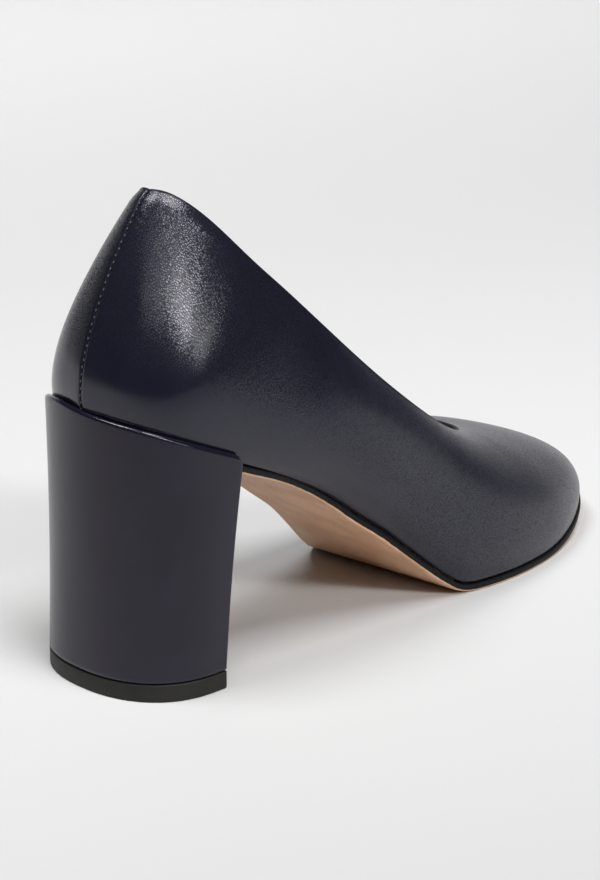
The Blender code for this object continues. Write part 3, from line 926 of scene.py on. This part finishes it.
def stitch_tree(thread):
    """Stitches spaced along a line of edges in a slight zigzag, each turned to its face."""
    tree = bpy.data.node_groups.new("stitches_on_a_line", "GeometryNodeTree")
    tree.interface.new_socket("Line", in_out="INPUT", socket_type="NodeSocketGeometry")
    for label in STITCH_SIZES:
        tree.interface.new_socket(label, in_out="INPUT", socket_type="NodeSocketFloat")
    tree.interface.new_socket("Stitches", in_out="OUTPUT", socket_type="NodeSocketGeometry")
    given = tree.nodes.new("NodeGroupInput")
    line, pitch, length, width, zigzag = (Socket(tree, output) for output in given.outputs[:5])
    curve = line.node("GeometryNodeMeshToCurve", None, {"Mesh": line})
    spots = curve.node("GeometryNodeResampleCurve", {"mode": "LENGTH"},
                       {"Curve": curve, "Length": pitch})
    ahead = curve.node("GeometryNodeInputTangent")
    away = curve.node("GeometryNodeInputNamedAttribute", {"data_type": "FLOAT_VECTOR"},
                      {"Name": "away"})
    aside = away.node("ShaderNodeVectorMath", {"operation": "CROSS_PRODUCT"}, {0: ahead, 1: away})
    count = away.node("GeometryNodeInputIndex")
    step = (count.math("MODULO", count, 2.0) - 0.5) * zigzag
    step = aside.node("ShaderNodeVectorMath", {"operation": "SCALE"}, {0: aside, "Scale": step})
    spots = spots.node("GeometryNodeSetPosition", None, {"Geometry": spots, "Offset": step})
    size = length.node("ShaderNodeCombineXYZ", None,
                       {"X": length, "Y": width, "Z": width * STITCH_FLATNESS})
    bead = size.node("GeometryNodeMeshUVSphere", None, {"Segments": 8, "Rings": 6, "Radius": 0.5})
    bead = bead.node("GeometryNodeTransform", None, {"Geometry": bead, "Scale": size})
    turn = bead.node("FunctionNodeAlignRotationToVector", {"axis": "X"}, {"Vector": ahead})
    turn = bead.node("FunctionNodeAlignRotationToVector", {"axis": "Z", "pivot_axis": "X"},
                     {"Rotation": turn, "Vector": away})
    beads = bead.node("GeometryNodeInstanceOnPoints", None,
                      {"Points": spots, "Instance": bead, "Rotation": turn})
    made = beads.node("GeometryNodeRealizeInstances", None, {"Geometry": beads})
    made = made.node("GeometryNodeSetMaterial", None, {"Geometry": made, "Material": thread})
    result = tree.nodes.new("NodeGroupOutput")
    tree.links.new(made.socket, result.inputs["Stitches"])
    return tree


def build_stitches(sheet, thread):
    """The stitches down the closed seam at the back, from the collar to the heel's lip."""
    shown = ((sheet.from_feather[:, 0] > SEAM_FROM_FEATHER)
             & (sheet.from_top[:, 0] > SEAM_FROM_TOPLINE))
    away = sheet.normal[shown, 0]
    points = sheet.points[shown, 0] + away * (SEAM_DEPTH / 2 + STITCH_RAISE)
    mesh = bpy.data.meshes.new("seam_line")
    edges = [(k, k + 1) for k in range(len(points) - 1)]
    mesh.from_pydata(((points + HEEL_POINT) * MM).tolist(), edges, [])
    mesh.attributes.new("away", "FLOAT_VECTOR", "POINT").data.foreach_set("vector", away.ravel())
    line = bpy.data.objects.new("seam_line", mesh)
    bpy.context.scene.collection.objects.link(line)
    laid = line.modifiers.new("Stitches", "NODES")
    laid.node_group = stitch_tree(thread)
    for item in laid.node_group.interface.items_tree:
        if item.in_out == "INPUT" and item.name in STITCH_SIZES:
            laid[item.identifier] = STITCH_SIZES[item.name]
    graph = bpy.context.evaluated_depsgraph_get()
    made = bpy.data.meshes.new_from_object(line.evaluated_get(graph), depsgraph=graph)
    bpy.data.objects.remove(line)
    made.name = "back_seam_stitches"
    made.shade_smooth()
    stitches = bpy.data.objects.new("back_seam_stitches", made)
    bpy.context.scene.collection.objects.link(stitches)
    return stitches


# The camera, as solved from the photograph: its distance and height from the heel's rearmost
# point, its heading from the shoe's long axis, and its turn and lens that take in the whole shoe
CAMERA_BACK = 621.9
CAMERA_SIDE = -2.5
CAMERA_HEIGHT = 266.6
CAMERA_HEADING = math.radians(47.0)
CAMERA_AIM = (80.9, -12.1, 57.6)
CAMERA_LENS = 96.0


def camera_place():
    """Where the camera stands, in millimetres from the heel's rearmost point."""
    ahead = np.array([math.cos(CAMERA_HEADING), math.sin(CAMERA_HEADING), 0.0])
    right = np.array([math.sin(CAMERA_HEADING), -math.cos(CAMERA_HEADING), 0.0])
    return -CAMERA_BACK * ahead - CAMERA_SIDE * right + np.array([0.0, 0.0, CAMERA_HEIGHT])


def place_camera():
    """The camera at the photograph's angle to the shoe."""
    camera = bpy.data.objects.new("camera", bpy.data.cameras.new("camera"))
    bpy.context.scene.collection.objects.link(camera)
    eye = Vector((camera_place() + HEEL_POINT) * MM)
    aim = Vector((np.array(CAMERA_AIM) + HEEL_POINT) * MM)
    turn = (aim - eye).to_track_quat("-Z", "Y").to_matrix().to_4x4()
    camera.matrix_world = Matrix.Translation(eye) @ turn
    camera.data.lens = CAMERA_LENS
    camera.data.clip_start = 0.01
    bpy.context.scene.camera = camera


# Soft boxes: direction from the shoe in degrees, distance, width, height, roll and brightness
SoftBox = namedtuple("SoftBox", "name azimuth elevation distance width height roll bright")
SOFT_BOXES = (
    SoftBox("high_left", -126.0, 71.0, 3.0, 1.05, 1.05, 0.0, 15.0),
    SoftBox("high_right", -14.0, 73.0, 3.0, 1.1, 1.1, 0.0, 16.0),
    SoftBox("key", -14.5, 37.5, 2.6, 0.30, 1.3, 50.0, 21.0),
    SoftBox("key_low", 6.0, 22.0, 2.6, 0.30, 1.3, 50.0, 9.0),
    SoftBox("key_side", -40.0, 45.0, 2.6, 0.45, 0.60, 0.0, 3.5),
    SoftBox("veil", -60.0, 46.0, 2.6, 1.0, 0.7, 0.0, 2.0),
)
SHOE_MIDDLE = Vector((-0.04, 0.0, 0.07))
STUDIO_GREY = 0.05

# The floor and its sweep in metres, and the greys of its paper: before the shoe, at the shoe and
# behind it, and where they change, in millimetres along the paper's heading
FLOOR_REACH = 7.0
SWEEP_START = 1.7
SWEEP_RADIUS = 0.9
SWEEP_HEIGHT = 1.3
SWEEP_STEPS = 16
PAPER_NEAR = 0.285
PAPER_MID = 0.60
PAPER_FAR = 0.95
PAPER_FADE = (-700.0, 150.0)
PAPER_RISE = (350.0, 1650.0)
PAPER_HEADING = math.radians(62.0)


def place_lights():
    """Soft boxes in a dim studio."""
    for box in SOFT_BOXES:
        azimuth, elevation = math.radians(box.azimuth), math.radians(box.elevation)
        away = Vector((math.sin(azimuth) * math.cos(elevation),
                       -math.cos(azimuth) * math.cos(elevation), math.sin(elevation)))
        data = bpy.data.lights.new(box.name, "AREA")
        data.shape = "RECTANGLE"
        data.size = box.width
        data.size_y = box.height
        data.energy = box.bright * math.pi * box.width * box.height
        light = bpy.data.objects.new(box.name, data)
        turn = away.to_track_quat("Z", "Y").to_matrix().to_4x4()
        light.matrix_world = (Matrix.Translation(SHOE_MIDDLE + away * box.distance) @ turn
                              @ Matrix.Rotation(math.radians(box.roll), 4, "Z"))
        light.visible_camera = False
        bpy.context.scene.collection.objects.link(light)
    world = bpy.data.worlds.new("studio")
    world.use_nodes = True
    world.node_tree.nodes["Background"].inputs["Color"].default_value = (STUDIO_GREY,) * 3 + (1,)
    bpy.context.scene.world = world


def place_floor():
    """A pale floor that sweeps up behind the shoe."""
    profile = [(-FLOOR_REACH, 0.0), (SWEEP_START, 0.0)]
    for turn in np.linspace(0, math.pi / 2, SWEEP_STEPS + 1)[1:]:
        profile.append((SWEEP_START + SWEEP_RADIUS * math.sin(turn),
                        SWEEP_RADIUS * (1 - math.cos(turn))))
    profile.append((SWEEP_START + SWEEP_RADIUS, SWEEP_HEIGHT))
    cos, sin = math.cos(CAMERA_HEADING), math.sin(CAMERA_HEADING)
    points = []
    for away, height in profile:
        for aside in (-FLOOR_REACH, FLOOR_REACH):
            points.append((away * cos + aside * sin, away * sin - aside * cos, height))
    faces = [(2 * k, 2 * k + 1, 2 * k + 3, 2 * k + 2) for k in range(len(profile) - 1)]
    mesh = bpy.data.meshes.new("pale_floor")
    mesh.from_pydata(points, [], faces)
    mesh.shade_smooth()
    paper = Finish("pale_paper", {"Roughness": 0.9, "Specular IOR Level": 0.2})
    heading = (math.cos(PAPER_HEADING), math.sin(PAPER_HEADING), 0.0)
    along = paper.place.node("ShaderNodeVectorMath", {"operation": "DOT_PRODUCT"},
                             {0: paper.place, 1: heading}, 1)
    near, mid, far = ((*(grey,) * 3, 1) for grey in (PAPER_NEAR, PAPER_MID, PAPER_FAR))
    tone = (along.ramp(*PAPER_FADE) + paper.place.noise(3.0, 3.0) * 0.02).blend(near, mid)
    tone = along.ramp(*PAPER_RISE).blend(tone, far)
    mesh.materials.append(paper.feed(Base_Color=tone))
    floor = bpy.data.objects.new("pale_floor", mesh)
    bpy.context.scene.collection.objects.link(floor)


def dress(piece, slot, *nodes):
    """Let a piece ride on the shoe and hide the solids that it stands for; slot is not used."""
    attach(piece, "root")
    if nodes:
        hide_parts(*nodes)


HEEL_POINT = heel_point()

place_camera()
place_lights()
place_floor()

upper, upper_face = build_upper(nappa_finish())
dress(upper, "upper_leather", "upper")
dress(build_stitches(upper_face, thread_finish()), "upper_leather")
dress(build_lining(lining_finish("lining_leather", *LINING_TONES)), "sock_leather")
dress(build_sock(lining_finish("sock_leather", *SOCK_TONES)), "sock_leather", "insole")
dress(build_sole(sole_finish()), "sole_leather", "outsole")
dress(build_heel(heel_finish()), "heel_leather", "heel_block")
dress(build_lift(rubber_finish()), "lift_rubber", "top_piece")

bpy.context.scene.view_settings.view_transform = "Standard"
